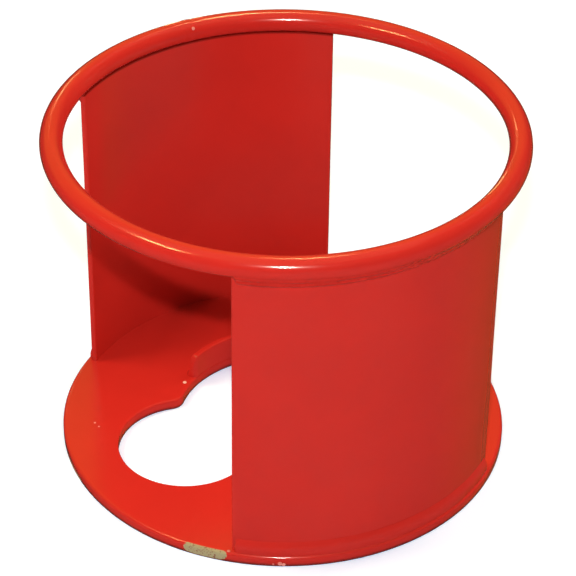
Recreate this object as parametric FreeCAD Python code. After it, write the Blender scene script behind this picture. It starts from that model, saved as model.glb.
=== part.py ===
import FreeCAD, Part
import math
import os

# A small welded guard: a round base plate with a keyhole opening, a C-shaped collar
# standing round the hole, two rolled side plates facing each other, and a ring of
# round bar on top that joins them.  Everything is held by weld beads.
#
# Frame, in millimetres: Z is the axis of the ring, Z = 0 is the underside of the base
# plate, the side plates are centred on +X (right) and -X (left), and the lobe of the
# keyhole points to -Y, the open front.

# ---- driving dimensions ----
BAR_DIAMETER = 12.0             # round bar of the top ring
RING_DIAMETER = 240.0           # ring, measured on the bar's centreline
OVERALL_HEIGHT = 192.0          # underside of the base to the top of the ring

BASE_DIAMETER = 242.5
BASE_THICKNESS = 6.0
BASE_RIM_ROUND = 1.0            # worn and painted edge of the base's rim

NECK_HOLE_DIAMETER = 115.0      # large round of the keyhole, on the axis
LOBE_DIAMETER = 74.0            # small round of the keyhole
LOBE_OFFSET = 59.0              # axis to the lobe's centre
NOSE_ROUND = 8.0                # rounded points where the two rounds meet

COLLAR_WALL = 4.0
COLLAR_TOP = 20.0               # top of the collar above the base's underside
COLLAR_MOUTH_HALF_ANGLE = 58.0  # open part of the collar, each side of -Y
COLLAR_EDGE_ROUND = 1.0

PLATE_OUTER_RADIUS = 118.2
PLATE_THICKNESS = 3.0
PLATE_HALF_ANGLE = 40.2
PLATE_EDGE_ROUND = 0.8
PLATE_BITE = 0.8                # the plate's top edge is coped this far into the bar's curve

RING_GAP = 3.0                  # gap that the ring's closing weld fills
CLOSING_WELD_CROWN = 0.25       # how far that weld stands above the bar
CLOSING_WELD_ANGLE = 180.0      # counter-clockwise from +X: over the left side plate

RING_WELD_PLATE_LEG = 6.6       # bead under the ring, measured down the side plate
RING_WELD_REACH = 4.4           # the same bead, measured outwards
FOOT_WELD_PLATE_LEG = 8.0       # bead at the side plate's foot, measured up the plate
FOOT_WELD_REACH = 2.0           # the same bead, measured out over the base
COLLAR_WELD_LEG = 4.0           # bead round the outside of the collar and over its ends
BEAD_CROWN = 0.35               # how far a bead's face bulges from a straight line
BEAD_SETBACK_ANGLE = 0.8        # beads stop this much short of a plate's edge
BEAD_END_SLOPE = 40.0           # a bead's end leans back by this angle from upright
FOOT_WELD_TAIL_SLOPE = 80.0     # the foot bead tails off more gently towards +Y, the back

# ---- derived dimensions ----
BAR_RADIUS = BAR_DIAMETER / 2
RING_RADIUS = RING_DIAMETER / 2
RING_HEIGHT = OVERALL_HEIGHT - BAR_RADIUS
BASE_RADIUS = BASE_DIAMETER / 2
NECK_RADIUS = NECK_HOLE_DIAMETER / 2
LOBE_RADIUS = LOBE_DIAMETER / 2
COLLAR_OUTER_RADIUS = NECK_RADIUS + COLLAR_WALL
PLATE_INNER_RADIUS = PLATE_OUTER_RADIUS - PLATE_THICKNESS
CLOSING_WELD_RADIUS = BAR_RADIUS + CLOSING_WELD_CROWN
# height at which the plate's outer face meets the underside of the bar
PLATE_MEETS_BAR = RING_HEIGHT - math.sqrt(
    BAR_RADIUS**2 - (RING_RADIUS - PLATE_OUTER_RADIUS) ** 2
)
# the points where the edges of the two rounds cross
NOSE_Y = -(NECK_RADIUS**2 - LOBE_RADIUS**2 + LOBE_OFFSET**2) / (2 * LOBE_OFFSET)
NOSE_X = math.sqrt(NECK_RADIUS**2 - NOSE_Y**2)
THROUGH = 2.0                   # how far a cutting solid runs past the faces it cuts
CUTTING_BLOCK = 80.0            # a block for trimming bead ends, longer than their slope
SAME_PLACE = 0.01               # points nearer than this are one point
FULL_TURN = 360.0
FRONT_ANGLE = 270.0             # direction of -Y
BACK_ANGLE = 90.0               # direction of +Y

AXIS = FreeCAD.Vector(0, 0, 1)
X_DIRECTION = FreeCAD.Vector(1, 0, 0)
Y_DIRECTION = FreeCAD.Vector(0, 1, 0)
ORIGIN = FreeCAD.Vector(0, 0, 0)


def section_point(radius, height):
    """A point of a section drawn in the XZ half plane."""
    return FreeCAD.Vector(radius, 0, height)


def turned(section, start_angle, sweep):
    """Turn a face drawn in the XZ half plane about the axis, from start_angle on."""
    body = section.revolve(ORIGIN, AXIS, sweep)
    if body.ShapeType != "Solid":
        body = Part.Solid(body.Shells[0])
    body.rotate(ORIGIN, AXIS, start_angle)
    return body


def polygon_face(points):
    return Part.Face(Part.makePolygon(points + points[:1]))


def bar_section():
    centre = section_point(RING_RADIUS, RING_HEIGHT)
    circle = Part.Circle(centre, Y_DIRECTION, BAR_RADIUS)
    return Part.Face(Part.Wire([circle.toShape()]))


def top_ring():
    """The bar, rolled to a ring and left open by the gap of the closing weld."""
    gap_angle = math.degrees(RING_GAP / RING_RADIUS)
    start = CLOSING_WELD_ANGLE + gap_angle / 2
    return turned(bar_section(), start, FULL_TURN - gap_angle)


def whole_ring():
    return turned(bar_section(), 0, FULL_TURN)


def closing_weld(neighbours):
    """Weld metal that fills the ring's gap and crowns a little above the bar."""
    angle = math.radians(CLOSING_WELD_ANGLE)
    middle = FreeCAD.Vector(
        RING_RADIUS * math.cos(angle), RING_RADIUS * math.sin(angle), RING_HEIGHT
    )
    weld = Part.makeSphere(CLOSING_WELD_RADIUS, middle)
    for neighbour in neighbours:
        weld = weld.cut(neighbour)
    return weld


def upright_edges(shape, length):
    """The straight edges of a shape that run along Z for this length or more."""
    found = []
    for edge in shape.Edges:
        if edge.Curve.TypeId != "Part::GeomLine" or len(edge.Vertexes) < 2:
            continue
        run = edge.Vertexes[1].Point - edge.Vertexes[0].Point
        if abs(run.z) > length - SAME_PLACE and math.hypot(run.x, run.y) < SAME_PLACE:
            found.append(edge)
    return found


def side_plate(centre_angle):
    """A flat plate rolled to an arc; its top edge is coped to the underside of the ring."""
    low = BASE_THICKNESS
    high = PLATE_MEETS_BAR + PLATE_BITE
    section = polygon_face([
        section_point(PLATE_INNER_RADIUS, low),
        section_point(PLATE_OUTER_RADIUS, low),
        section_point(PLATE_OUTER_RADIUS, high),
        section_point(PLATE_INNER_RADIUS, high),
    ])
    plate = turned(section, centre_angle - PLATE_HALF_ANGLE, 2 * PLATE_HALF_ANGLE)
    plate = plate.makeFillet(PLATE_EDGE_ROUND, upright_edges(plate, high - low))
    return plate.cut(whole_ring())


def base_plate():
    """A round plate with a keyhole: a round on the axis and a smaller one towards -Y."""
    plate = Part.makeCylinder(BASE_RADIUS, BASE_THICKNESS)
    plate = plate.makeFillet(BASE_RIM_ROUND, [e for e in plate.Edges if e.Closed])
    depth = BASE_THICKNESS + 2 * THROUGH
    below = FreeCAD.Vector(0, 0, -THROUGH)
    neck = Part.makeCylinder(NECK_RADIUS, depth, below)
    lobe = Part.makeCylinder(LOBE_RADIUS, depth, below + FreeCAD.Vector(0, -LOBE_OFFSET, 0))
    plate = plate.cut(neck.fuse(lobe))
    noses = [
        edge for edge in upright_edges(plate, BASE_THICKNESS)
        if abs(abs(edge.Vertexes[0].X) - NOSE_X) < SAME_PLACE
        and abs(edge.Vertexes[0].Y - NOSE_Y) < SAME_PLACE
    ]
    return plate.makeFillet(NOSE_ROUND, noses)


def neck_collar():
    """A strip bent round the neck hole, open towards the lobe, flush with the hole's wall."""
    section = polygon_face([
        section_point(NECK_RADIUS, BASE_THICKNESS),
        section_point(COLLAR_OUTER_RADIUS, BASE_THICKNESS),
        section_point(COLLAR_OUTER_RADIUS, COLLAR_TOP),
        section_point(NECK_RADIUS, COLLAR_TOP),
    ])
    start = FRONT_ANGLE + COLLAR_MOUTH_HALF_ANGLE
    collar = turned(section, start, FULL_TURN - 2 * COLLAR_MOUTH_HALF_ANGLE)
    top_arcs = [
        edge for edge in collar.Edges
        if edge.Curve.TypeId == "Part::GeomCircle"
        and edge.CenterOfMass.z > COLLAR_TOP - SAME_PLACE
    ]
    return collar.makeFillet(COLLAR_EDGE_ROUND, top_arcs)


def bead_section(root, toe_up, toe_out):
    """A triangle between two toes and the root, its face bulging by BEAD_CROWN."""
    chord = toe_out - toe_up
    outward = (toe_up + toe_out) * 0.5 - root
    normal = FreeCAD.Vector(-chord.z, 0, chord.x).normalize()
    if normal.dot(outward) < 0:
        normal = normal * -1
    middle = (toe_up + toe_out) * 0.5 + normal * BEAD_CROWN
    face_edge = Part.Arc(toe_up, middle, toe_out).toShape()
    sides = [
        Part.LineSegment(toe_out, root).toShape(),
        Part.LineSegment(root, toe_up).toShape(),
    ]
    return Part.Face(Part.Wire([face_edge] + sides))


def leaning_block(angle, side, root_height, lean):
    """A block past a bead's end at this angle, its near face leaning over the bead.

    side is 1 where the bead comes from smaller angles and -1 where it comes from larger
    ones.  A positive lean trims the bead above its root, a negative one below it.
    """
    corner = FreeCAD.Vector(0, 0, -CUTTING_BLOCK)
    block = Part.makeBox(2 * CUTTING_BLOCK, CUTTING_BLOCK, 2 * CUTTING_BLOCK, corner)
    block.rotate(ORIGIN, X_DIRECTION, lean)
    if side < 0:
        block = block.mirror(ORIGIN, Y_DIRECTION)
    block.translate(FreeCAD.Vector(0, 0, root_height))
    block.rotate(ORIGIN, AXIS, angle)
    return block


def arc_bead(section, centre_angle, root_height, front_lean, back_lean):
    """A bead along a side plate whose two ends slope back from its root to its toe."""
    half = PLATE_HALF_ANGLE - BEAD_SETBACK_ANGLE
    bead = turned(section, centre_angle - half, 2 * half)
    for side in (-1, 1):
        end = centre_angle + side * half
        at_back = math.sin(math.radians(end)) > 0
        lean = back_lean if at_back else front_lean
        bead = bead.cut(leaning_block(end, side, root_height, lean))
    return bead


def ring_weld(centre_angle):
    """The bead outside a side plate, in the corner under the ring."""
    reach_radius = PLATE_OUTER_RADIUS + RING_WELD_REACH
    bar_underside = RING_HEIGHT - math.sqrt(BAR_RADIUS**2 - (reach_radius - RING_RADIUS) ** 2)
    section = bead_section(
        section_point(PLATE_OUTER_RADIUS, RING_HEIGHT - BAR_RADIUS / 2),
        section_point(PLATE_OUTER_RADIUS, PLATE_MEETS_BAR - RING_WELD_PLATE_LEG),
        section_point(reach_radius, bar_underside),
    )
    bead = arc_bead(section, centre_angle, PLATE_MEETS_BAR, -BEAD_END_SLOPE, -BEAD_END_SLOPE)
    return bead.cut(whole_ring())


def foot_weld(centre_angle):
    """The bead outside a side plate, between its foot and the base's rim."""
    section = bead_section(
        section_point(PLATE_OUTER_RADIUS, BASE_THICKNESS),
        section_point(PLATE_OUTER_RADIUS, BASE_THICKNESS + FOOT_WELD_PLATE_LEG),
        section_point(PLATE_OUTER_RADIUS + FOOT_WELD_REACH, BASE_THICKNESS),
    )
    return arc_bead(
        section, centre_angle, BASE_THICKNESS, BEAD_END_SLOPE, FOOT_WELD_TAIL_SLOPE
    )


def collar_end_fillet(end_angle, side):
    """The bead across one end of the collar, turning the corner into the outer bead."""
    run = COLLAR_WELD_LEG * side
    triangle = polygon_face([
        FreeCAD.Vector(NECK_RADIUS, 0, BASE_THICKNESS),
        FreeCAD.Vector(NECK_RADIUS, run, BASE_THICKNESS),
        FreeCAD.Vector(NECK_RADIUS, 0, BASE_THICKNESS + COLLAR_WELD_LEG),
    ])
    across = triangle.extrude(FreeCAD.Vector(COLLAR_WALL, 0, 0))
    corner = Part.makeCone(
        COLLAR_WELD_LEG, 0, COLLAR_WELD_LEG, section_point(COLLAR_OUTER_RADIUS, BASE_THICKNESS)
    )
    fillet = across.fuse(corner)
    fillet.rotate(ORIGIN, AXIS, end_angle)
    return fillet


def collar_weld(collar):
    """The bead round the outside of the collar and across its two ends, on the base."""
    section = bead_section(
        section_point(COLLAR_OUTER_RADIUS, BASE_THICKNESS),
        section_point(COLLAR_OUTER_RADIUS, BASE_THICKNESS + COLLAR_WELD_LEG),
        section_point(COLLAR_OUTER_RADIUS + COLLAR_WELD_LEG, BASE_THICKNESS),
    )
    half = FULL_TURN / 2 - COLLAR_MOUTH_HALF_ANGLE
    bead = turned(section, BACK_ANGLE - half, 2 * half)
    for side in (-1, 1):
        bead = bead.fuse(collar_end_fillet(BACK_ANGLE + side * half, side))
    hole = Part.makeCylinder(NECK_RADIUS, OVERALL_HEIGHT)
    return bead.cut(collar).cut(hole)


def main():
    ring = top_ring()
    collar = neck_collar()
    pieces = {
        "base_plate": base_plate(),
        "neck_collar": collar,
        "collar_weld": collar_weld(collar),
        "top_ring": ring,
    }
    for side, centre_angle in (("right", 0.0), ("left", 180.0)):
        pieces[side + "_side_plate"] = side_plate(centre_angle)
        pieces[side + "_foot_weld"] = foot_weld(centre_angle)
        pieces[side + "_ring_weld"] = ring_weld(centre_angle)
    pieces["ring_closing_weld"] = closing_weld(
        [ring, pieces["left_side_plate"], pieces["left_ring_weld"]]
    )

    os.makedirs("parts", exist_ok=True)
    for name, shape in pieces.items():
        shape.exportStep("parts/" + name + ".step")
        box = shape.optimalBoundingBox()
        print(
            f"{name}: {len(shape.Solids)} solid, valid {shape.isValid()}, "
            f"{shape.Volume:.0f} mm3, z {box.ZMin:.2f} to {box.ZMax:.2f}"
        )


main()
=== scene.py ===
# %% [markdown]
# # A welded ring guard in red gloss enamel
#
# The object is a small weldment: a round base plate with a keyhole in it, a short collar
# round the hole, two rolled side plates, and a ring of round bar on top. Weld beads hold
# it together, and one thick coat of red enamel covers everything.
#
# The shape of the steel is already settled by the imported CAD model, which is loaded here
# as a fixed frame. This lesson makes the surfaces that the eye sees: softer edges, beads
# with a real weld's unevenness, nibs, chips, and the paint itself.

# %% Load the frame
import math

import bmesh
import bpy
from mathutils import Matrix, Vector


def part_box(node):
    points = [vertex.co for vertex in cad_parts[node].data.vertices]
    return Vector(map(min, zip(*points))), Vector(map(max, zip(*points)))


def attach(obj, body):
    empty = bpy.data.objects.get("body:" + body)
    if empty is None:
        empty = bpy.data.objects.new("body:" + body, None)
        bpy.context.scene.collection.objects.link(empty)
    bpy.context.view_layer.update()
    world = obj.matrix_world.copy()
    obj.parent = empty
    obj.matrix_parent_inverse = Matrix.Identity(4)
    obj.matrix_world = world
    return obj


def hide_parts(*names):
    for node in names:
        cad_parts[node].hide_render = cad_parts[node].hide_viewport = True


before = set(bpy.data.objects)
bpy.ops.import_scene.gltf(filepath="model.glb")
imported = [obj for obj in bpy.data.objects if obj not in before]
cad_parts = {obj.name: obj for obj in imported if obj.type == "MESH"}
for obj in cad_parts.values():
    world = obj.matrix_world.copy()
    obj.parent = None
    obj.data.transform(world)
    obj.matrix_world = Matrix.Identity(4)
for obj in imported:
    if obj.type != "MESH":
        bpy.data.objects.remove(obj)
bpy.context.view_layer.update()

SCENE = bpy.context.scene
print("nodes in the frame:", sorted(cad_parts))

# %% [markdown]
# ## Sizes that come from the frame
#
# Every piece has to lie where the CAD model has it, so its sizes are read from the
# boxes of the CAD nodes, and only what a box can't tell is written down as a number.
# The unit is the metre, and MM makes small sizes readable.

# %% Read the sizes
MM = 0.001

ring_low, ring_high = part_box("top_ring")
BAR_RADIUS = (ring_high.z - ring_low.z) / 2
RING_RADIUS = ring_high.x - BAR_RADIUS
RING_HEIGHT = ring_high.z - BAR_RADIUS

_, base_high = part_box("base_plate")
BASE_RADIUS = base_high.x
BASE_TOP = base_high.z

_, plate_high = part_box("right_side_plate")
PLATE_RADIUS = plate_high.x
PLATE_THICKNESS = 3 * MM
PLATE_HALF_ANGLE = math.asin(plate_high.y / PLATE_RADIUS)

collar_low, collar_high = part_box("neck_collar")
COLLAR_RADIUS = collar_high.x
COLLAR_WALL = 4 * MM
COLLAR_HALF_SWEEP = math.radians(122)

print(f"ring {2e3 * RING_RADIUS:.1f} mm across its centreline, bar {2e3 * BAR_RADIUS:.1f} mm")
print(f"side plates {2 * math.degrees(PLATE_HALF_ANGLE):.1f} degrees wide")

# %% [markdown]
# ## Node trees written as expressions
#
# Both materials and Geometry Nodes are trees of nodes. Wiring them by hand takes many
# lines, so two small classes do it: `Tree` adds a node and connects it, and `Wire` is one
# output of a node. Adding, multiplying or comparing wires adds the Math node that does it,
# so a formula in the script looks like a formula on paper.

# %% Tree and Wire
class Wire:
    """One output socket of a node. Arithmetic on it adds Math nodes to its tree."""

    def __init__(self, tree, socket):
        self.tree = tree
        self.socket = socket

    def sibling(self, name):
        """Another output of the same node."""
        return Wire(self.tree, self.socket.node.outputs[name])

    def maths(self, operation, *values):
        return self.tree.node("ShaderNodeMath", {"operation": operation}, values)

    def __add__(self, other):
        return self.maths("ADD", self, other)

    def __sub__(self, other):
        return self.maths("SUBTRACT", self, other)

    def __rsub__(self, other):
        return self.maths("SUBTRACT", other, self)

    def __mul__(self, other):
        return self.maths("MULTIPLY", self, other)

    def __truediv__(self, other):
        return self.maths("DIVIDE", self, other)

    __radd__ = __add__
    __rmul__ = __mul__

    def sin(self):
        return self.maths("SINE", self)

    def cos(self):
        return self.maths("COSINE", self)

    def root(self):
        return self.maths("SQRT", self)

    def size(self):
        return self.maths("ABSOLUTE", self)

    def at_most(self, other):
        return self.maths("MINIMUM", self, other)

    def at_least(self, other):
        return self.maths("MAXIMUM", self, other)

    def between(self, low, high):
        """0 below low, 1 above high, and a smooth rise from one to the other."""
        settings = {"interpolation_type": "SMOOTHSTEP"}
        return self.tree.node(
            "ShaderNodeMapRange", settings, {"Value": self, "From Min": low, "From Max": high}
        )


class Tree:
    """A node tree: node() adds a node, sets it up and returns its output as a Wire."""

    def __init__(self, node_tree):
        self.node_tree = node_tree

    def node(self, kind, settings=None, values=(), output=0):
        """Settings are the node's own properties; values are numbers or wires for its sockets."""
        made = self.node_tree.nodes.new(kind)
        for name, value in (settings or {}).items():
            setattr(made, name, value)
        pairs = values.items() if isinstance(values, dict) else enumerate(values)
        for key, value in pairs:
            if isinstance(value, Wire):
                self.node_tree.links.new(value.socket, made.inputs[key])
            else:
                made.inputs[key].default_value = value
        return Wire(self, made.outputs[output]) if len(made.outputs) else made

    def vector(self, x, y, z):
        return self.node("ShaderNodeCombineXYZ", None, [x, y, z])

    def noise(self, scale, detail, where):
        """Smooth random values round 0.5; the scale is in lumps per metre."""
        values = {"Vector": where, "Scale": scale, "Detail": detail}
        return self.node("ShaderNodeTexNoise", None, values)

    def mix_colour(self, amount, low, high):
        """Goes from the colour low to the colour high as amount goes from 0 to 1."""
        node = self.node_tree.nodes.new("ShaderNodeMix")
        node.data_type = "RGBA"
        for name, value in (("Factor_Float", amount), ("A_Color", low), ("B_Color", high)):
            socket = next(s for s in node.inputs if s.identifier == name)
            if isinstance(value, Wire):
                self.node_tree.links.new(value.socket, socket)
            else:
                socket.default_value = value
        return Wire(self, next(s for s in node.outputs if s.identifier == "Result_Color"))


print("Tree and Wire are ready")

# %% [markdown]
# ## Shapes that a Geometry Nodes tree makes
#
# The trees below take named sizes, such as the sweep of a bead, and end in Realize
# Instances and Set Material. `grown` runs one tree on an object, turns the result into a
# plain mesh, and takes the modifier off again, because the piece that is handed over has
# to be ordinary geometry.

# %% Start, finish and run a Geometry Nodes tree
def geometry_tree(name, sizes):
    """A new tree whose inputs are a geometry and these named sizes; returns tree and wires."""
    group = bpy.data.node_groups.new(name, "GeometryNodeTree")
    face = group.interface
    face.new_socket("Geometry", in_out="INPUT", socket_type="NodeSocketGeometry")
    for size, value in sizes.items():
        kind = "NodeSocketInt" if isinstance(value, int) else "NodeSocketFloat"
        face.new_socket(size, in_out="INPUT", socket_type=kind).default_value = value
    face.new_socket("Material", in_out="INPUT", socket_type="NodeSocketMaterial")
    face.new_socket("Geometry", in_out="OUTPUT", socket_type="NodeSocketGeometry")
    tree = Tree(group)
    inputs = tree.node("NodeGroupInput")
    wires = {name: inputs.sibling(name) for name in ("Geometry", "Material", *sizes)}
    return tree, wires


def close_tree(tree, shape, material):
    """The end of every tree: smooth faces, real geometry and a material."""
    smooth = tree.node("GeometryNodeSetShadeSmooth", None, {"Geometry": shape})
    real = tree.node("GeometryNodeRealizeInstances", None, {"Geometry": smooth})
    painted = tree.node("GeometryNodeSetMaterial", None, {"Geometry": real, "Material": material})
    tree.node("NodeGroupOutput", None, [painted])
    return tree.node_tree


def outline_mesh(points):
    """A closed outline, as the start mesh of a tree that carries a section along."""
    mesh = bpy.data.meshes.new("outline")
    count = len(points)
    edges = [(i, (i + 1) % count) for i in range(count)]
    mesh.from_pydata([(x, y, 0) for x, y in points], edges, [])
    return mesh


def grown(name, group, material, start=None, **sizes):
    """Runs a tree on a start mesh, and keeps the result as plain mesh."""
    piece = bpy.data.objects.new(name, start or bpy.data.meshes.new(name))
    SCENE.collection.objects.link(piece)
    modifier = piece.modifiers.new("shape", "NODES")
    modifier.node_group = group
    given = {"Material": material}
    given.update({key.replace("_", " ").title(): value for key, value in sizes.items()})
    for item in group.interface.items_tree:
        if item.in_out == "INPUT" and item.name in given:
            modifier[item.identifier] = given.pop(item.name)
    assert not given, f"{group.name} has no input named {sorted(given)}"
    result = piece.evaluated_get(bpy.context.evaluated_depsgraph_get())
    mesh = bpy.data.meshes.new_from_object(result)
    piece.modifiers.remove(modifier)
    piece.data = mesh
    mesh.name = name
    return turned_outwards(piece)


SHARP_CORNER = math.radians(42)     # steeper corners than this keep a crisp edge
MERGE_DISTANCE = 0.001 * MM         # points nearer than this are one point


def turned_outwards(piece):
    """Merges doubled points, and turns a closed mesh the right way out if it is inside out."""
    shell = bmesh.new()
    shell.from_mesh(piece.data)
    bmesh.ops.remove_doubles(shell, verts=shell.verts, dist=MERGE_DISTANCE)
    if shell.calc_volume(signed=True) < 0:
        bmesh.ops.reverse_faces(shell, faces=shell.faces)
    open_edges = sum(1 for edge in shell.edges if not edge.is_manifold)
    print(
        f"{piece.name}: {len(shell.faces)} faces, {open_edges} open edges, "
        f"{shell.calc_volume(signed=True) * 1e6:.2f} cm3"
    )
    shell.to_mesh(piece.data)
    shell.free()
    piece.data.set_sharp_from_angle(angle=SHARP_CORNER)
    return piece


# %% [markdown]
# ## The enamel
#
# The paint is a thick gloss enamel, dipped or flooded on. Three things make it look real:
# a clear hard gloss, a faint orange-peel texture that breaks up reflections, and a red
# that isn't quite even, because the coat is thinner in some places than in others. The
# gloss is the shader's coat; the orange peel is two noises in a Bump node.
#
# On the base plate's rim the paint has been knocked off, down to dull greenish steel with
# rust in it. A chip is a mask worked out from the angle round the axis and the height,
# made ragged by noise. Painted shade darkens the tops of the side plates, in the narrow
# corner under the ring where there is no weld, and the lower edge of the base where it meets
# the ground: both are masks of the height alone. Where dust has stuck in the wet coat there
# are nibs, coloured pale pink as a painted highlight of the lamp's glint on them. One
# function makes all four finishes, so that they are the same paint.

# %% Enamel material
ENAMEL_RED = (0.57, 0.0220, 0.0168, 1)
ENAMEL_DEEP = (0.55, 0.0210, 0.0162, 1)
# a painted highlight: the nibs' pale pink stands in for the lamp's glint on them
NIB_HIGHLIGHT_PINK = (0.95, 0.55, 0.48, 1)
# painted shade for the narrow corner under the ring, at the tops of the side plates
CREVICE_SHADE = (0.25, 0.010, 0.007, 1)
# painted shade for the base's bottom edge, where it meets the ground
FOOT_SHADE = (0.11, 0.014, 0.010, 1)
BARE_STEEL = (0.37, 0.32, 0.18, 1)
RUSTY_STEEL = (0.22, 0.075, 0.040, 1)


def blank_material(name):
    """A new material, its empty tree, and the point of the surface that it paints."""
    material = bpy.data.materials.new(name)
    material.use_nodes = True
    material.node_tree.nodes.clear()
    tree = Tree(material.node_tree)
    return material, tree, tree.node("ShaderNodeTexCoord").sibling("Object")


def polar(tree, point):
    """The angle round the axis in radians, the distance from it, and the height."""
    x = tree.node("ShaderNodeSeparateXYZ", None, [point])
    y = x.sibling("Y")
    angle = tree.node("ShaderNodeMath", {"operation": "ARCTAN2"}, [y, x])
    return angle, (x * x + y * y).root(), x.sibling("Z")


def point_height(tree, point):
    """How far above the ground the point is."""
    return tree.node("ShaderNodeSeparateXYZ", None, [point]).sibling("Z")


def chip_mask(tree, point, chips):
    """1 where the paint is gone; a chip is its angle, half width, height and half height."""
    angle, distance, height = polar(tree, point)
    ragged = (tree.noise(420, 3, point) - 0.5) * 1.1
    mask = None
    for middle, half_width, level, half_height in chips:
        across = (angle - math.radians(middle)) / math.radians(half_width)
        up = (height - level) / half_height
        inside = 1.0 - (across * across * across * across + up * up * up * up) + ragged
        spot = inside.between(0.0, 0.12)
        mask = spot if mask is None else mask.at_least(spot)
    return mask * distance.between(BASE_RADIUS - 1.6 * MM, BASE_RADIUS - 1.0 * MM)


def enamel(name, chips=(), painted_highlight=False, painted_shade_above=None, painted_shade_below=None):
    """Red gloss enamel: chipped, pale pink as a painted highlight, or with painted shade above or
    below a height.
    """
    material, tree, point = blank_material(name)

    # patches of thicker and thinner paint, about as wide as a thumb
    tint = tree.noise(30, 4, point).between(0.35, 0.68)
    # painted highlight: nibs are coloured pale pink in place of the lamp's glint
    colour = tree.mix_colour(tint, NIB_HIGHLIGHT_PINK if painted_highlight else ENAMEL_RED, ENAMEL_DEEP)
    dullness = tree.noise(60, 3, point).between(0.3, 0.7)
    roughness = 0.16 + 0.05 * dullness

    # orange peel: fine dimples 2 mm apart on broader waves 8 mm apart
    peel = tree.noise(430, 2, point) + 2.5 * tree.noise(120, 2, point)
    relief = peel * 0.011
    coat = 1.0

    # painted shade: above this height the plate's colour darkens, where the ring shades the
    # corner
    if painted_shade_above:
        crevice_shade = point_height(tree, point).between(painted_shade_above, painted_shade_above + 0.7 * MM)
        colour = tree.mix_colour(crevice_shade, colour, CREVICE_SHADE)

    # painted shade: the colour darkens towards the bottom edge, where the ground shades it
    if painted_shade_below:
        ragged = point_height(tree, point) + (tree.noise(300, 3, point) - 0.5) * 0.8 * MM
        foot_shade = 1.0 - ragged.between(0.2 * MM, painted_shade_below)
        colour = tree.mix_colour(foot_shade, colour, FOOT_SHADE)

    if chips:
        bare = chip_mask(tree, point, chips)
        rust = tree.noise(900, 4, point).between(0.52, 0.66)        # flecks about 1 mm wide
        steel = tree.mix_colour(rust, BARE_STEEL, RUSTY_STEEL)
        colour = tree.mix_colour(bare, colour, steel)
        roughness = roughness + bare * (0.5 - roughness)
        relief = relief - bare * 0.12
        coat = 1.0 - bare

    bump = tree.node(
        "ShaderNodeBump", None, {"Height": relief, "Strength": 0.6, "Distance": 1 * MM}
    )
    shader = tree.node("ShaderNodeBsdfPrincipled", None, {
        "Base Color": colour,
        "Roughness": roughness,
        "Specular IOR Level": 0.3,
        "Coat Weight": coat,
        "Coat Roughness": 0.15,
        "Coat IOR": 1.45,
        "Normal": bump,
    })
    tree.node("ShaderNodeOutputMaterial", None, [shader])
    return material


RED_ENAMEL = enamel("red_enamel")
RIM_CHIPS = [       # angles in degrees, heights in metres
    (-46.5, 5.7, 3.6 * MM, 3.0 * MM),
    (-95.5, 5.2, 0.7 * MM, 0.9 * MM),
]
# the rim is chipped to bare steel, and its bottom edge carries painted shade
CHIPPED_ENAMEL = enamel("red_enamel_chipped", RIM_CHIPS, painted_shade_below=2.6 * MM)
# pale pink nibs, a painted highlight
PALE_NIB = enamel("pale_nib", painted_highlight=True)
# the side plates carry painted shade along their tops, under the ring
PLATE_ENAMEL = enamel("red_enamel_plate", painted_shade_above=plate_high.z - 1.1 * MM)
print("enamel made, with", len(RIM_CHIPS), "chips for the base plate's rim")

# %% [markdown]
# ## One tree for everything that is bent or laid round the axis
#
# The top ring, the collar and all the weld beads have one thing in common: each is a
# section carried along an arc round the axis. So one tree makes them all. Its start mesh
# is the section's outline, drawn from the point that the section grows from: x is
# outwards and y is upwards. Each end can start at a small size and swell up roundly to
# the full one over a given share of the length, as a bead does.

# %% Section carried along an arc
SWEEP_SIZES = {
    "Radius": 0.1, "Height": 0.0, "Begin": 0.0, "Sweep": 1.0, "Steps": 64,
    "Start Share": 0.0, "Start Size": 1.0, "End Share": 0.0, "End Size": 1.0,
    "Ripple": 0.0, "Ripples": 100.0, "Lumps": 0.0,
}


def swelling(along, share, size):
    """Rises from size to 1 over this share of the way, as a quarter circle does."""
    left = 1.0 - (along / share.at_least(0.0001)).at_most(1.0)
    return size + (1.0 - size) * (1.0 - left * left).at_least(0.0).root()


def arc_sweep_tree():
    tree, size = geometry_tree("section along an arc", SWEEP_SIZES)
    arc = tree.node("GeometryNodeCurveArc", {"mode": "RADIUS"}, {
        "Resolution": size["Steps"],
        "Radius": size["Radius"],
        "Start Angle": size["Begin"],
        "Sweep Angle": size["Sweep"],
    })
    lifted = tree.node("GeometryNodeSetPosition", None, {
        "Geometry": arc, "Offset": tree.vector(0.0, 0.0, size["Height"]),
    })
    upright = tree.node("GeometryNodeSetCurveNormal", {"mode": "Z_UP"}, {"Curve": lifted})

    along = tree.node("GeometryNodeSplineParameter")
    begin = swelling(along, size["Start Share"], size["Start Size"])
    finish = swelling(1.0 - along, size["End Share"], size["End Size"])
    outline = tree.node("GeometryNodeMeshToCurve", None, [size["Geometry"]])
    flipped = tree.node("GeometryNodeTransform", None, {
        "Geometry": outline, "Scale": (1, -1, 1),
    })
    swept = tree.node("GeometryNodeCurveToMesh", None, {
        "Curve": upright, "Profile Curve": flipped, "Scale": begin * finish, "Fill Caps": True,
    })

    place = tree.node("GeometryNodeInputPosition")
    angle, _, _ = polar(tree, place)
    crescents = (angle * size["Ripples"] + tree.noise(160, 1, place) * 5.0).sin()
    lumps = (tree.noise(90, 2, place) - 0.5) * size["Lumps"]
    rise = crescents * size["Ripple"] + lumps
    outwards = tree.node("GeometryNodeInputNormal")
    shift = tree.node("ShaderNodeVectorMath", {"operation": "SCALE"}, {
        "Vector": outwards, "Scale": rise,
    })
    uneven = tree.node("GeometryNodeSetPosition", None, {"Geometry": swept, "Offset": shift})
    return close_tree(tree, uneven, size["Material"])


ARC_SWEEP = arc_sweep_tree()


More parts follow.
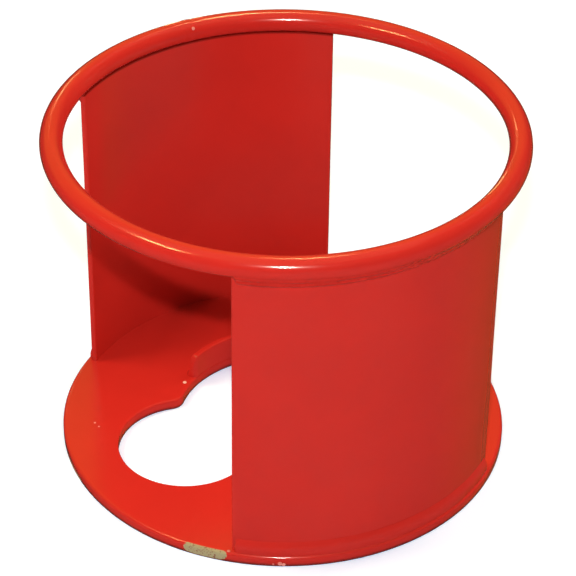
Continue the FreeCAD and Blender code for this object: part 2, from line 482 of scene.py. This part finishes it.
def arc_points(centre, radius, start, end, count):
    """Points on a circle from one angle to another, both in degrees, ends included."""
    step = (end - start) / (count - 1)
    angles = [math.radians(start + step * i) for i in range(count)]
    return [(centre[0] + radius * math.cos(a), centre[1] + radius * math.sin(a)) for a in angles]


print("sweep tree has", len(ARC_SWEEP.nodes), "nodes")

# %% [markdown]
# ## The top ring and its closing weld
#
# The ring is one length of round bar, rolled until its ends nearly meet. The gap is
# filled with weld and ground down, which leaves a slight swelling under the paint. The
# ring is a round section carried almost all the way round, and the weld is a short,
# slightly fatter piece of the same thing, whose ends sink into the bar.

# %% Top ring
CLOSING_WELD_ANGLE = math.pi
RING_GAP = 3 * MM / RING_RADIUS
ROUND_STEPS = 56
round_bar = arc_points((0, 0), BAR_RADIUS, 0, 360 - 360 / ROUND_STEPS, ROUND_STEPS)

top_ring = grown(
    "top_ring_bar", ARC_SWEEP, RED_ENAMEL, outline_mesh(round_bar),
    radius=RING_RADIUS, height=RING_HEIGHT, steps=480,
    begin=CLOSING_WELD_ANGLE + RING_GAP / 2, sweep=2 * math.pi - RING_GAP, lumps=0.05 * MM,
)

# %% Closing weld of the ring
WELD_CROWN = 0.2 * MM
WELD_HALF_WIDTH = 3.4 * MM / RING_RADIUS
fat_bar = arc_points(
    (0, 0), BAR_RADIUS + WELD_CROWN, 0, 360 - 360 / ROUND_STEPS, ROUND_STEPS
)
closing_weld = grown(
    "ring_closing_bead", ARC_SWEEP, RED_ENAMEL, outline_mesh(fat_bar),
    radius=RING_RADIUS, height=RING_HEIGHT, steps=30,
    begin=CLOSING_WELD_ANGLE - WELD_HALF_WIDTH, sweep=2 * WELD_HALF_WIDTH,
    start_share=0.5, start_size=0.94, end_share=0.5, end_size=0.94,
)

# %% [markdown]
# ## The side plates
#
# Each side plate is a flat rectangle rolled to an arc. Its tree bends a block: the block's
# x becomes the distance from the axis, its y the angle and its z the height. A long, low
# wave is added to the distance, because a rolled plate is never a perfect cylinder, and
# gloss paint shows it. The tree marks the upright edges with a bevel weight, and a Bevel
# modifier then rounds just those, as thick paint does. The top and the foot stay square,
# because they are buried in the ring and in the base.

# %% Rolled plate
PLATE_SIZES = {
    "Inner Radius": 0.1, "Thickness": 0.003, "Middle": 0.0, "Half Angle": 0.5,
    "Low": 0.0, "High": 0.1, "Wave": 0.0,
}


def rolled_plate_tree():
    tree, size = geometry_tree("rolled plate", PLATE_SIZES)
    block = tree.node("GeometryNodeMeshCube", None, {
        "Size": (1, 1, 1), "Vertices X": 2, "Vertices Y": 97, "Vertices Z": 81,
    })
    across = tree.node("ShaderNodeSeparateXYZ", None, [tree.node("GeometryNodeInputPosition")])
    along, up = across.sibling("Y"), across.sibling("Z")
    angle = size["Middle"] + along * 2.0 * size["Half Angle"]
    height = size["Low"] + (up + 0.5) * (size["High"] - size["Low"])
    lump = tree.noise(1.0, 1, tree.vector(angle * 1.6, height * 14.0, 0.0)) - 0.5
    distance = size["Inner Radius"] + (across + 0.5) * size["Thickness"] + lump * size["Wave"]
    place = tree.vector(distance * angle.cos(), distance * angle.sin(), height)
    corner = across.size().at_most(along.size())
    upright = corner.maths("GREATER_THAN", corner, 0.499)       # 0.5 is the block's own edge
    marked = tree.node(
        "GeometryNodeStoreNamedAttribute", {"data_type": "FLOAT", "domain": "EDGE"},
        {"Geometry": block, "Name": "bevel_weight_edge", "Value": upright},
    )
    bent = tree.node("GeometryNodeSetPosition", None, {"Geometry": marked, "Position": place})
    return close_tree(tree, bent, size["Material"])


def round_edges(piece, radius):
    """Rounds the marked edges of a finished mesh, as a thick coat of paint does."""
    bevel = piece.modifiers.new("painted edges", "BEVEL")
    bevel.width = radius
    bevel.segments = 5
    bevel.limit_method = "WEIGHT"
    return piece


ROLLED_PLATE = rolled_plate_tree()
PLATE_SINK = 0.4 * MM       # the foot goes this far into the base, so that no gap shows
PLATE_EDGE_ROUND = 0.9 * MM
PLATE_WAVE = 0.5 * MM       # how far from true the rolling left the plate
side_plates = {
    side: round_edges(grown(
        side + "_rolled_plate", ROLLED_PLATE, PLATE_ENAMEL,
        inner_radius=PLATE_RADIUS - PLATE_THICKNESS, thickness=PLATE_THICKNESS,
        middle=middle, half_angle=PLATE_HALF_ANGLE,
        low=BASE_TOP - PLATE_SINK, high=plate_high.z, wave=PLATE_WAVE,
    ), PLATE_EDGE_ROUND)
    for side, middle in (("right", 0.0), ("left", math.pi))
}

# %% [markdown]
# ## The base plate
#
# The base is cut from flat plate: a circle outside, and inside it a keyhole made of a
# large round, a smaller one, and two rounded points between them. A Boolean could cut
# the hole, but it would leave long thin faces that spoil a gloss finish. So the keyhole's
# edge is worked out first, as four arcs that touch each other.

# %% Keyhole outline
NECK_RADIUS = COLLAR_RADIUS - COLLAR_WALL
LOBE_RADIUS = 37 * MM
LOBE_Y = -59 * MM
NOSE_ROUND = 8 * MM


def keyhole(steps_per_turn):
    """The keyhole's edge, counter-clockwise, as four arcs that touch each other."""
    to_neck = NECK_RADIUS + NOSE_ROUND
    to_lobe = LOBE_RADIUS + NOSE_ROUND
    nose_y = (to_neck**2 - to_lobe**2 + LOBE_Y**2) / (2 * LOBE_Y)
    nose_x = math.sqrt(to_neck**2 - nose_y**2)
    neck_end = math.degrees(math.atan2(nose_y, nose_x))
    lobe_end = math.degrees(math.atan2(nose_y - LOBE_Y, nose_x))

    def arc(centre, radius, start, end):
        count = 1 + max(6, round(abs(end - start) / 360 * steps_per_turn))
        return arc_points(centre, radius, start, end, count)[:-1]

    return (
        arc((0, 0), NECK_RADIUS, neck_end, 180 - neck_end)
        + arc((-nose_x, nose_y), NOSE_ROUND, -neck_end, -lobe_end)
        + arc((0, LOBE_Y), LOBE_RADIUS, 180 - lobe_end, 360 + lobe_end)
        + arc((nose_x, nose_y), NOSE_ROUND, 180 + lobe_end, 180 + neck_end)
    )


edge_points = [Vector(p) for p in keyhole(steps_per_turn=400)]
print("keyhole drawn with", len(edge_points), "points")

# %% [markdown]
# The plate itself is a loop of cross-sections. Each one starts at a point of the
# keyhole's edge and runs straight to the rim, and all the faces between two sections are
# four-sided, so the rounded edges catch the light cleanly all the way round. The upper
# edges are rounder than the lower ones, where the coat has worn thin against the ground.

# %% Base plate
RIM_ROUND = 1.7 * MM        # the upper edge, softened by the thick paint
HOLE_ROUND = 1.1 * MM
LOWER_ROUND = 0.3 * MM      # the lower edges stay nearly as they were cut
FLAT_FROM = 2.4 * MM        # this far from every edge the plate is flat
SECTION_VIEWPOINT = Vector((0, -30 * MM))
ROUND_POINTS = 7


def rim_point(edge):
    """Where the line from the section viewpoint through a keyhole point meets the rim."""
    direction = (edge - SECTION_VIEWPOINT).normalized()
    sideways = SECTION_VIEWPOINT.dot(direction)
    reach = math.sqrt(sideways**2 + BASE_RADIUS**2 - SECTION_VIEWPOINT.length_squared)
    return SECTION_VIEWPOINT + direction * (reach - sideways)


def base_section(edge, normal):
    """One closed cross-section, from the hole's lower edge over the top and back below."""
    rim = rim_point(edge)
    inwards = -rim.normalized()
    loop = []
    quarter = [math.radians(90 * i / (ROUND_POINTS - 1)) for i in range(ROUND_POINTS)]

    def corner(anchor, direction, radius, top, angles):
        for angle in angles:
            level = radius * (1 - math.sin(angle))
            spot = anchor + direction * radius * (1 - math.cos(angle))
            loop.append((spot.x, spot.y, BASE_TOP - level if top else level))

    def across(top, start, end):
        share_at_edge = FLAT_FROM / (end - start).length
        for share in (share_at_edge, 0.3, 0.7, 1 - share_at_edge):
            spot = start.lerp(end, share)
            loop.append((spot.x, spot.y, BASE_TOP if top else 0.0))

    corner(edge, normal, HOLE_ROUND, True, quarter)
    across(True, edge, rim)
    corner(rim, inwards, RIM_ROUND, True, quarter[::-1])
    corner(rim, inwards, LOWER_ROUND, False, quarter)
    across(False, rim, edge)
    corner(edge, normal, LOWER_ROUND, False, quarter[::-1])
    return loop


def ring_of_sections(name, sections, material):
    """Joins a closed ring of equal cross-sections with four-sided faces."""
    count, size = len(sections), len(sections[0])
    points = [point for section in sections for point in section]
    faces = []
    for i in range(count):
        here, there = i * size, (i + 1) % count * size
        for j in range(size):
            k = (j + 1) % size
            faces.append((here + j, there + j, there + k, here + k))
    mesh = bpy.data.meshes.new(name)
    mesh.from_pydata(points, [], faces)
    mesh.materials.append(material)
    mesh.polygons.foreach_set("use_smooth", [True] * len(faces))
    piece = bpy.data.objects.new(name, mesh)
    SCENE.collection.objects.link(piece)
    return turned_outwards(piece)


sections = []
for i, edge_point in enumerate(edge_points):
    following = edge_points[(i + 1) % len(edge_points)]
    along = following - edge_points[i - 1]
    sections.append(base_section(edge_point, Vector((along.y, -along.x)).normalized()))
base_disc = ring_of_sections("base_disc", sections, CHIPPED_ENAMEL)

# %% [markdown]
# ## The collar
#
# The collar is a strip on edge, bent to a C. Its section is a tall rectangle with a
# softly rounded top, drawn from the outer foot. Towards each tip of the C the section
# shrinks round that point, which gives the ends the soft slope that weld and thick paint
# give the real ones. The bead round its foot comes with the other beads below.

# %% Collar
collar_height = collar_high.z - collar_low.z
EDGE_ROUND = 1.0 * MM
COLLAR_END = 0.014          # the share of the strip's length over which each end rises
strip = (
    [(-COLLAR_WALL, 0), (0, 0)]
    + [(0, collar_height * share) for share in (0.3, 0.7)]
    + arc_points((-EDGE_ROUND, collar_height - EDGE_ROUND), EDGE_ROUND, 0, 90, 6)
    + arc_points((EDGE_ROUND - COLLAR_WALL, collar_height - EDGE_ROUND), EDGE_ROUND, 90, 180, 6)
    + [(-COLLAR_WALL, collar_height * share) for share in (0.7, 0.3)]
)
collar = grown(
    "collar_strip", ARC_SWEEP, RED_ENAMEL, outline_mesh(strip),
    radius=COLLAR_RADIUS, height=BASE_TOP, steps=900,
    begin=math.pi / 2 - COLLAR_HALF_SWEEP, sweep=2 * COLLAR_HALF_SWEEP, lumps=0.1 * MM,
    start_share=COLLAR_END, start_size=0.35, end_share=COLLAR_END, end_size=0.35,
)


# %% [markdown]
# ## The weld beads
#
# A bead fills the corner between two pieces. Its section has a root in the corner and two
# toes, and its face bulges a little between them. The beads under the ring were laid in
# two passes, so their face has two low ridges; the beads at the foot are one smooth pass.
# Noise in the sweep tree then makes the bead swell and shrink along its length, because
# a hand never moves at an even speed, and each end starts a little smaller.

# %% Bead outline and the beads
BEAD_SETBACK = math.radians(0.8)        # a bead stops this short of the plate's edges
RIDGE_HEIGHT = 0.12 * MM    # how far each pass of a bead stands out from the next
FOOT_BULGE = 0.8 * MM
UNDER_BULGE = 0.1 * MM
COLLAR_BULGE = 0.3 * MM
ROOT_DEPTH = 1.2 * MM       # the root lies this deep in the steel, so that no gap shows


def bead_face(low_toe, high_toe, bulge, ridges, count=25):
    """Points from toe to toe; the face bulges, and has this many ridges along it."""
    low, high = Vector(low_toe), Vector(high_toe)
    run = high - low
    outwards = Vector((run.y, -run.x)).normalized()
    points = []
    for i in range(count):
        share = i / (count - 1)
        swell = math.sin(math.pi * share)
        ridge = 0.5 - 0.5 * math.cos(2 * math.pi * ridges * share)
        points.append(low + run * share + outwards * (bulge * swell + RIDGE_HEIGHT * ridge))
    return [tuple(point) for point in points]


def side_bead(name, middle, height, outline, **ends):
    """A bead outside a side plate, from its front edge to its back edge."""
    half = PLATE_HALF_ANGLE - BEAD_SETBACK
    backwards = middle > math.pi / 2
    if backwards:       # a section that is carried the other way round comes out mirrored
        outline = [(-x, y) for x, y in outline]
    return grown(
        name, ARC_SWEEP, RED_ENAMEL, outline_mesh(outline),
        radius=PLATE_RADIUS, height=height, steps=420,
        begin=middle + half if backwards else middle - half,
        sweep=-2 * half if backwards else 2 * half, **ends,
    )


foot_low, foot_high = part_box("right_foot_weld")
FOOT_LEG = foot_high.z - foot_low.z
FOOT_REACH = foot_high.x - PLATE_RADIUS
foot_outline = [(-ROOT_DEPTH, -ROOT_DEPTH), (FOOT_REACH, -ROOT_DEPTH)] + bead_face(
    (FOOT_REACH, 0), (0, FOOT_LEG), FOOT_BULGE, 0
) + [(-ROOT_DEPTH, FOOT_LEG)]

under_low, under_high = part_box("right_ring_weld")
UNDER_LEG = under_high.z - under_low.z
UNDER_REACH = under_high.x - PLATE_RADIUS
TOE_SINK = 0.3 * MM         # the lower toe starts inside the plate, so that it has no step
UNDER_ROOT = 0.6 * MM       # shallow, so that it doesn't show in the crevice on the inside
LOWER_TOE = -UNDER_LEG - 0.8 * MM
UPPER_TOE = (UNDER_REACH + 2.3 * MM, 2.0 * MM)      # on the bar's side, out past its belly
INSIDE_BAR = 4 * MM         # the section's top lies in the bar, out of sight
under_outline = bead_face((-TOE_SINK, LOWER_TOE), UPPER_TOE, UNDER_BULGE, 2) + [
    (UNDER_REACH, INSIDE_BAR), (-UNDER_ROOT, INSIDE_BAR), (-UNDER_ROOT, LOWER_TOE)
]

beads = {}
for side, middle in (("right", 0.0), ("left", math.pi)):
    beads[side + "_foot_weld"] = side_bead(
        side + "_foot_bead", middle, BASE_TOP, foot_outline,
        start_share=0.01, start_size=0.5, end_share=0.01, end_size=0.5,
        ripple=0.02 * MM, ripples=130.0, lumps=0.5 * MM,
    )
    beads[side + "_ring_weld"] = side_bead(
        side + "_under_ring_bead", middle, under_high.z, under_outline,
        start_share=0.01, start_size=0.6, end_share=0.01, end_size=0.6,
        ripple=0.05 * MM, ripples=150.0, lumps=0.5 * MM,
    )

# %% [markdown]
# The collar's bead is the same thing on a smaller circle. It tails off before the tips of
# the C, inside the slope of the collar's own ends, so that neither leaves a blunt stub.

# %% Collar weld
COLLAR_LEG = 4 * MM
collar_outline = [(-ROOT_DEPTH, -ROOT_DEPTH), (COLLAR_LEG, -ROOT_DEPTH)] + bead_face(
    (COLLAR_LEG, 0), (0, COLLAR_LEG), COLLAR_BULGE, 0, 15
) + [(-ROOT_DEPTH, COLLAR_LEG)]
beads["collar_weld"] = grown(
    "collar_bead", ARC_SWEEP, RED_ENAMEL, outline_mesh(collar_outline),
    radius=COLLAR_RADIUS, height=BASE_TOP, steps=700,
    begin=math.pi / 2 - COLLAR_HALF_SWEEP, sweep=2 * COLLAR_HALF_SWEEP,
    start_share=0.03, start_size=0.1, end_share=0.03, end_size=0.1,
    ripple=0.05 * MM, ripples=90.0, lumps=0.3 * MM,
)

# %% [markdown]
# ## Nibs in the paint
#
# Thick enamel picks up dust and dries over weld spatter, which leaves small pimples; their
# pale pink colour is a painted highlight. Each is a flattened ball, half sunk in the surface.
# They are copies of one small ball, set on points by a Geometry Nodes tree and turned to face
# the way that the surface faces, so adding one more is only adding one more point. The way it
# faces and its size travel with the point, as attributes of the start mesh.

# %% Nibs
def nib_tree():
    tree, size = geometry_tree("paint nibs", {"Width": 2 * MM, "Flatness": 0.5})
    ball = tree.node("GeometryNodeMeshIcoSphere", None, {
        "Radius": size["Width"] / 2.0, "Subdivisions": 4,
    })
    facing = tree.node(
        "GeometryNodeInputNamedAttribute", {"data_type": "FLOAT_VECTOR"}, {"Name": "facing"}
    )
    share = tree.node(
        "GeometryNodeInputNamedAttribute", {"data_type": "FLOAT"}, {"Name": "share"}
    )
    turn = tree.node("FunctionNodeAlignRotationToVector", {"axis": "Z"}, {"Vector": facing})
    placed = tree.node("GeometryNodeInstanceOnPoints", None, {
        "Points": size["Geometry"], "Instance": ball, "Rotation": turn,
        "Scale": tree.vector(share, share, share * size["Flatness"]),
    })
    return close_tree(tree, placed, size["Material"])


def on_bar(angle, tilt):
    """A point of the ring's surface and the way it faces; tilt 0 is outwards, 90 is up."""
    turn, lean = math.radians(angle), math.radians(tilt)
    radial = Vector((math.cos(turn), math.sin(turn), 0))
    facing = radial * math.cos(lean) + Vector((0, 0, math.sin(lean)))
    return radial * RING_RADIUS + Vector((0, 0, RING_HEIGHT)) + facing * BAR_RADIUS, facing


def on_rim(angle, height):
    """A point of the base plate's rim and the way it faces."""
    turn = math.radians(angle)
    facing = Vector((math.cos(turn), math.sin(turn), 0))
    return facing * BASE_RADIUS + Vector((0, 0, height)), facing


def on_base(angle, distance):
    """A point on top of the base plate and the way it faces, which is up."""
    turn = math.radians(angle)
    point = Vector((distance * math.cos(turn), distance * math.sin(turn), BASE_TOP))
    return point, Vector((0, 0, 1))


def balls(name, places, material, **sizes):
    """One mesh of many half-sunk balls; a place is a point, the way it faces and a size."""
    start = bpy.data.meshes.new("ball_places")
    start.from_pydata([point for point, _, _ in places], [], [])
    start.attributes.new("facing", "FLOAT_VECTOR", "POINT")
    start.attributes.new("share", "FLOAT", "POINT")
    for i, (_, direction, size) in enumerate(places):
        start.attributes["facing"].data[i].vector = direction
        start.attributes["share"].data[i].value = size
    return grown(name, NIB_TREE, material, start=start, **sizes)


NIB_TREE = nib_tree()
nibs = balls("paint_nibs", [
    (*on_bar(179, 144), 1.0),
    (*on_base(217.7, 61 * MM), 1.1),
    (*on_base(-40.6, 119.6 * MM), 0.9),
    (*on_base(249, 104 * MM), 0.6),
    (*on_base(251, 102 * MM), 0.5),
    (*on_rim(-29.4, 1.5 * MM), 0.6),
    (*on_rim(-27.8, 1.9 * MM), 1.2),
    (*on_rim(-26.9, 1.3 * MM), 1.0),
], PALE_NIB)

# %% [markdown]
# ## Hand the pieces over to the frame
#
# A piece rides on a body and stands for a CAD node, which is then hidden. This object
# has no moving parts, so everything rides on the one body, root.

# %% Ride and replace
def hand_over(piece, *nodes):
    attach(piece, "root")
    if nodes:
        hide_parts(*nodes)


hand_over(top_ring, "top_ring")
hand_over(closing_weld, "ring_closing_weld")
hand_over(base_disc, "base_plate")
hand_over(collar, "neck_collar")
hand_over(nibs)
for side, plate in side_plates.items():
    hand_over(plate, side + "_side_plate")
for node, bead in beads.items():
    hand_over(bead, node)
print("pieces handed over:", 5 + len(side_plates) + len(beads))

# %% [markdown]
# ## The floor and the backdrop
#
# The floor is a wide pale sheet. It also glows faintly blue: the lamps are warm, and the
# two together come out a clean white. It is kept out of reflections, because in red gloss
# a white floor turns every downward face pink.
#
# Round the object stands a plain pale bowl that only the camera sees. It fades in, over
# a wide stretch, where the floor gets too far from the lamps to stay white, so that the
# object has the same quiet background from every side. It throws no light and no shadow.

# %% Floor and backdrop
FLOOR_REACH = 4.0
PALE_LOW = (0.82, 0.92, 0.98, 1)
PALE_HIGH = (0.80, 0.90, 0.96, 1)
BACKDROP_FROM, BACKDROP_TO = 0.5, 1.3       # it fades in between these distances


def staged(name, points, faces, material):
    """A piece of the studio, which isn't part of the object."""
    mesh = bpy.data.meshes.new(name)
    mesh.from_pydata(points, [], faces)
    piece = bpy.data.objects.new(name, mesh)
    SCENE.collection.objects.link(piece)
    mesh.materials.append(material)
    print(f"{name}: {len(faces)} faces")
    return piece


def pale_floor():
    material, tree, point = blank_material("pale_floor")
    shade = tree.noise(3, 3, point).between(0.3, 0.7)
    shader = tree.node("ShaderNodeBsdfPrincipled", None, {
        "Base Color": tree.mix_colour(shade, PALE_LOW, PALE_HIGH),
        "Roughness": 0.9,
        "Specular IOR Level": 0.0,
        "Emission Color": (0.40, 0.55, 1.0, 1),
        "Emission Strength": 0.40,
    })
    tree.node("ShaderNodeOutputMaterial", None, [shader])
    signs = ((-1, -1), (1, -1), (1, 1), (-1, 1))
    corners = [(x * FLOOR_REACH, y * FLOOR_REACH, 0) for x, y in signs]
    floor = staged("floor", corners, [(0, 1, 2, 3)], material)
    floor.visible_glossy = False


def pale_backdrop():
    """A quarter-round bowl that starts just clear of the floor."""
    turns, rises = 96, 24
    inner, width, top = 0.45, 4.55, 4.0
    points = []
    for i in range(rises + 1):
        lean = math.radians(90 * i / rises)
        radius = inner + width * math.sin(lean)
        level = 0.5 * MM + top * (1 - math.cos(lean))
        circle = arc_points((0, 0), radius, 0, 360 - 360 / turns, turns)
        points += [(x, y, level) for x, y in circle]
    faces = []
    for here in range(0, rises * turns, turns):
        for j in range(turns):
            k = (j + 1) % turns
            faces.append((here + j, here + turns + j, here + turns + k, here + k))

    material, tree, point = blank_material("pale_backdrop")
    _, distance, _ = polar(tree, point)
    glow = tree.node("ShaderNodeEmission", None, {"Color": (0.93, 0.93, 0.90, 1)})
    clear = tree.node("ShaderNodeBsdfTransparent")
    fade = distance.between(BACKDROP_FROM, BACKDROP_TO)
    mixed = tree.node("ShaderNodeMixShader", None, [fade, clear, glow])
    tree.node("ShaderNodeOutputMaterial", None, [mixed])
    backdrop = staged("backdrop", points, faces, material)
    for kind in ("diffuse", "glossy", "shadow", "transmission", "volume_scatter"):
        setattr(backdrop, "visible_" + kind, False)


pale_floor()
pale_backdrop()

# %% [markdown]
# ## The lamps
#
# Gloss paint shows two things at once: the light on its colour, and the lamps mirrored in
# its coat. One set of lamps seldom suits both, so a lamp here may light the surfaces
# only, or show in the gloss only. Three wide warm panels light the red from the left and
# the right, and stay out of the gloss, where they would lay a pale sheet over it. One
# small bright lamp above the camera does both: it draws the white streaks on the bar and
# throws the ring's soft shadow inside the guard. Four tiny amber lamps show only in the
# gloss, as the orange lines along the bar.

# %% Lamps
AIM = Vector((0, 0, ring_high.z / 2))
FLASH = (1.0, 0.89, 0.78)
WARM = (1.0, 0.87, 0.54)
AMBER = (1.0, 0.66, 0.25)


def around(azimuth, elevation, distance):
    """A place seen from the object's middle, azimuth counter-clockwise from +X."""
    turn, rise = math.radians(azimuth), math.radians(elevation)
    flat = math.cos(rise)
    return AIM + distance * Vector((math.cos(turn) * flat, math.sin(turn) * flat, math.sin(rise)))


def lamp(name, place, width, height, power, colour, shines="all"):
    """A glowing panel facing the object; it lights all, "surfaces" only or "gloss" only."""
    data = bpy.data.lights.new(name, "AREA")
    data.shape = "RECTANGLE"
    data.size = width
    data.size_y = height
    data.energy = power
    data.color = colour
    panel = bpy.data.objects.new(name, data)
    panel.location = place
    panel.rotation_euler = (place - AIM).to_track_quat("Z", "Y").to_euler()
    panel.visible_glossy = shines != "surfaces"
    panel.visible_diffuse = shines != "gloss"
    SCENE.collection.objects.link(panel)
    print(f"{name}: {power} W, {width} x {height} m, lights {shines}")


lamp("camera_lamp", around(-28, 40, 1.3), 0.045, 0.026, 10.5, FLASH)
lamp("overhead", around(0, 90, 1.4), 1.6, 1.6, 2.6, WARM)
lamp("back_left_panel", around(243, 50, 1.8), 0.7, 0.7, 17.5, WARM, "surfaces")
lamp("back_right_panel", around(108, 50, 1.8), 0.7, 0.7, 12.6, WARM, "surfaces")
lamp("low_right_panel", around(90, 15, 1.8), 0.7, 0.7, 12.4, WARM, "surfaces")
lamp("amber_back", around(148.5, 58, 1.0), 0.05, 0.03, 0.7, AMBER, "gloss")
lamp("amber_left", around(-94, 53, 0.8), 0.22, 0.025, 1.6, AMBER, "gloss")
lamp("amber_low_left", around(170, 27, 1.5), 0.05, 0.03, 0.35, AMBER, "gloss")
lamp("amber_low_right", around(160, 9, 1.5), 0.05, 0.03, 0.35, AMBER, "gloss")

# %% [markdown]
# ## The surround
#
# What the gloss mirrors where there is no lamp is the world round the object. A bright
# one would wash the red out, so this one is a dim room, a little lighter overhead. It has
# two soft patches: an amber glow at the back, which warms the base plate's top, and a
# weaker one low on the right, which browns the side plates where they turn away.

# %% Surround
DIM_ROOM = (0.035, 0.030, 0.020, 1)
DIM_CEILING = (0.09, 0.08, 0.05, 1)
AMBER_GLOW = (0.45, 0.25, 0.05, 1)
LOW_GLOW = (0.13, 0.065, 0.015, 1)

world = bpy.data.worlds.new("surround")
world.use_nodes = True
SCENE.world = world
surround = Tree(world.node_tree)
surround.node_tree.nodes.clear()
sky = surround.node("ShaderNodeTexCoord").sibling("Generated")
height = point_height(surround, sky)


def facing(azimuth, elevation):
    """How nearly a part of the surround lies that way: 1 is straight that way, 0 is aside."""
    towards = (around(azimuth, elevation, 1.0) - AIM).to_tuple()
    return surround.node(
        "ShaderNodeVectorMath", {"operation": "DOT_PRODUCT"}, [sky, towards], "Value"
    )


glow = facing(178, 15).between(0.45, 0.95) * height.between(0.1, 0.35)
low_glow = facing(100, -35).between(0.80, 1.0)
room = surround.mix_colour(height.between(0.1, 0.7), DIM_ROOM, DIM_CEILING)
room = surround.mix_colour(glow, room, AMBER_GLOW)
room = surround.mix_colour(low_glow, room, LOW_GLOW)
background = surround.node("ShaderNodeBackground", None, {"Color": room, "Strength": 1.0})
surround.node("ShaderNodeOutputWorld", None, [background])
print("surround has", len(surround.node_tree.nodes), "nodes")

# %% [markdown]
# ## The camera
#
# The object is seen from above, over the front edge of the right side plate. The camera
# stands about five times the object's width away and has a long lens, so that the far
# side of the ring is nearly as large as the near side. It aims at the axis, halfway up
# to the ring, and a small shift of the lens sets the object a little off the middle.

# %% Camera
CAMERA_AZIMUTH = math.radians(62.5)         # from -Y, counter-clockwise
CAMERA_ELEVATION = math.radians(35.107)
CAMERA_ROLL = math.radians(0.675)
CAMERA_DISTANCE = 1.3006
SENSOR = 36.0
LENS = 152.44
SHIFT = (0.00616, -0.00845)

back = Vector((
    math.sin(CAMERA_AZIMUTH) * math.cos(CAMERA_ELEVATION),
    -math.cos(CAMERA_AZIMUTH) * math.cos(CAMERA_ELEVATION),
    math.sin(CAMERA_ELEVATION),
))
level = Vector((math.cos(CAMERA_AZIMUTH), math.sin(CAMERA_AZIMUTH), 0))
upward = back.cross(level)
sideways = level * math.cos(CAMERA_ROLL) + upward * math.sin(CAMERA_ROLL)
turn = Matrix((sideways, back.cross(sideways), back)).transposed()
place = Vector((0, 0, RING_HEIGHT / 2)) + back * CAMERA_DISTANCE

camera_data = bpy.data.cameras.new("camera")
camera_data.sensor_width = SENSOR
camera_data.lens = LENS
camera_data.shift_x, camera_data.shift_y = SHIFT
camera = bpy.data.objects.new("camera", camera_data)
camera.matrix_world = Matrix.Translation(place) @ turn.to_4x4()
SCENE.collection.objects.link(camera)
SCENE.camera = camera
SCENE.view_settings.view_transform = "Standard"
print("camera stands at", [round(value, 3) for value in place])
